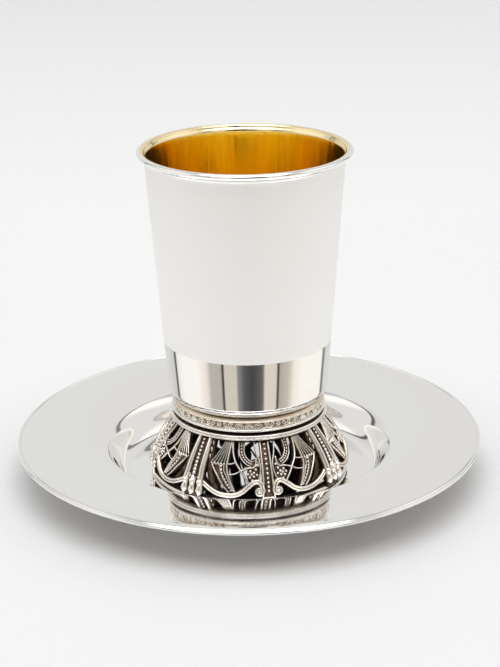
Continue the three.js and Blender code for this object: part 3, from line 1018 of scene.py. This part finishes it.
def reflector(scene, sizes):
    """A polished ring just over the saucer's edge that goes on with the slope of its rim. Only reflections
    from above see it: it keeps the stripes of the polished band running up to the satin."""
    material, shader = new_material("reflector", 1.0, 0.03)
    feed(material, shader.inputs["Base Color"], scene.kiddush_finish.silver)
    side = add_node(material, "ShaderNodeNewGeometry")
    clear = add_node(material, "ShaderNodeBsdfTransparent")
    either = add_node(material, "ShaderNodeMixShader")
    feed(material, either.inputs["Fac"], side.outputs["Backfacing"])
    feed(material, either.inputs[1], shader.outputs["BSDF"])
    feed(material, either.inputs[2], clear.outputs["BSDF"])
    output = material.node_tree.nodes["Material Output"]
    feed(material, output.inputs["Surface"], either.outputs["Shader"])
    sides, inwards, outwards, over_rim = 96, 15 * MM, 11.5 * MM, 0.35 * MM
    a = np.linspace(0, 2 * np.pi, sides, endpoint=False)
    radius = np.array([[sizes.radius - inwards], [sizes.radius + outwards]])
    z = (sizes.edge_height + over_rim + (radius - sizes.edge_radius) * rim_slope(sizes)) * np.ones(sides)
    points = np.stack([radius * np.sin(a), -radius * np.cos(a), z], -1).reshape(-1, 3)
    faces = grid_faces(2, sides, False, True)[:, ::-1]
    ring = stage_object(scene, "reflector", points.tolist(), faces.tolist(), material)
    ring.data.shade_smooth()
    for ray in ("camera", "diffuse", "shadow", "transmission", "volume_scatter"):
        setattr(ring, "visible_" + ray, False)


def stage_camera(scene, s):
    """The camera: level axes turned down by the pitch, and then about the line of sight by the roll."""
    data = bpy.data.cameras.new("camera")
    data.sensor_width = 36.0
    data.lens = s.focal_length
    camera = bpy.data.objects.new("camera", data)
    scene.collection.objects.link(camera)
    forward = np.array([0.0, np.cos(s.pitch), -np.sin(s.pitch)])
    right = np.array([1.0, 0.0, 0.0])
    up = np.cross(right, forward)
    c, r = np.cos(s.roll), np.sin(s.roll)
    axes = np.stack([c * right + r * up, -r * right + c * up, -forward], 1)
    place = Matrix(axes.tolist()).to_4x4()
    place.translation = (s.sideways, -s.distance, s.height)
    camera.matrix_world = place
    data.clip_start, data.clip_end = 0.05, 30.0
    scene.camera = camera


class KIDDUSH_OT_stage(bpy.types.Operator):
    """Make the pale table, the soft light and the camera"""

    bl_idname = "kiddush.stage"
    bl_label = "Stage"

    def execute(self, context):
        scene = context.scene
        s = scene.kiddush_stage
        scene.view_settings.view_transform = "Standard"
        studio_world(scene)
        stage_camera(scene, s)
        pale_table(scene, s)
        reflector(scene, scene.kiddush_saucer)
        return {"FINISHED"}


# ---------------------------------------------------------------- sidebar and registration


SETTINGS = {
    "kiddush_saucer": SaucerSizes,
    "kiddush_beaker": BeakerSizes,
    "kiddush_collar": CollarSizes,
    "kiddush_foot": FootSizes,
    "kiddush_finish": Finishes,
    "kiddush_stage": StageSizes,
}
OPERATORS = (KIDDUSH_OT_saucer, KIDDUSH_OT_foot, KIDDUSH_OT_collar, KIDDUSH_OT_beaker, KIDDUSH_OT_stage)


class KIDDUSH_PT_sidebar(bpy.types.Panel):
    """Sizes, finishes and one button for each piece"""

    bl_label = "Kiddush Cup"
    bl_space_type = "VIEW_3D"
    bl_region_type = "UI"
    bl_category = "Kiddush Cup"

    def draw(self, context):
        for operator in OPERATORS:
            self.layout.operator(operator.bl_idname)
        for name, group in SETTINGS.items():
            box = self.layout.box()
            box.label(text=group.__name__)
            for key in group.__annotations__:
                box.prop(getattr(context.scene, name), key)


def register():
    for name, group in SETTINGS.items():
        bpy.utils.register_class(group)
        setattr(bpy.types.Scene, name, bpy.props.PointerProperty(type=group))
    for operator in OPERATORS:
        bpy.utils.register_class(operator)
    bpy.utils.register_class(KIDDUSH_PT_sidebar)


def unregister():
    bpy.utils.unregister_class(KIDDUSH_PT_sidebar)
    for operator in reversed(OPERATORS):
        bpy.utils.unregister_class(operator)
    for name, group in reversed(SETTINGS.items()):
        delattr(bpy.types.Scene, name)
        bpy.utils.unregister_class(group)


def main():
    register()
    bpy.ops.kiddush.saucer()
    bpy.ops.kiddush.foot()
    bpy.ops.kiddush.collar()
    bpy.ops.kiddush.beaker()
    bpy.ops.kiddush.stage()


if __name__ == "__main__":
    main()
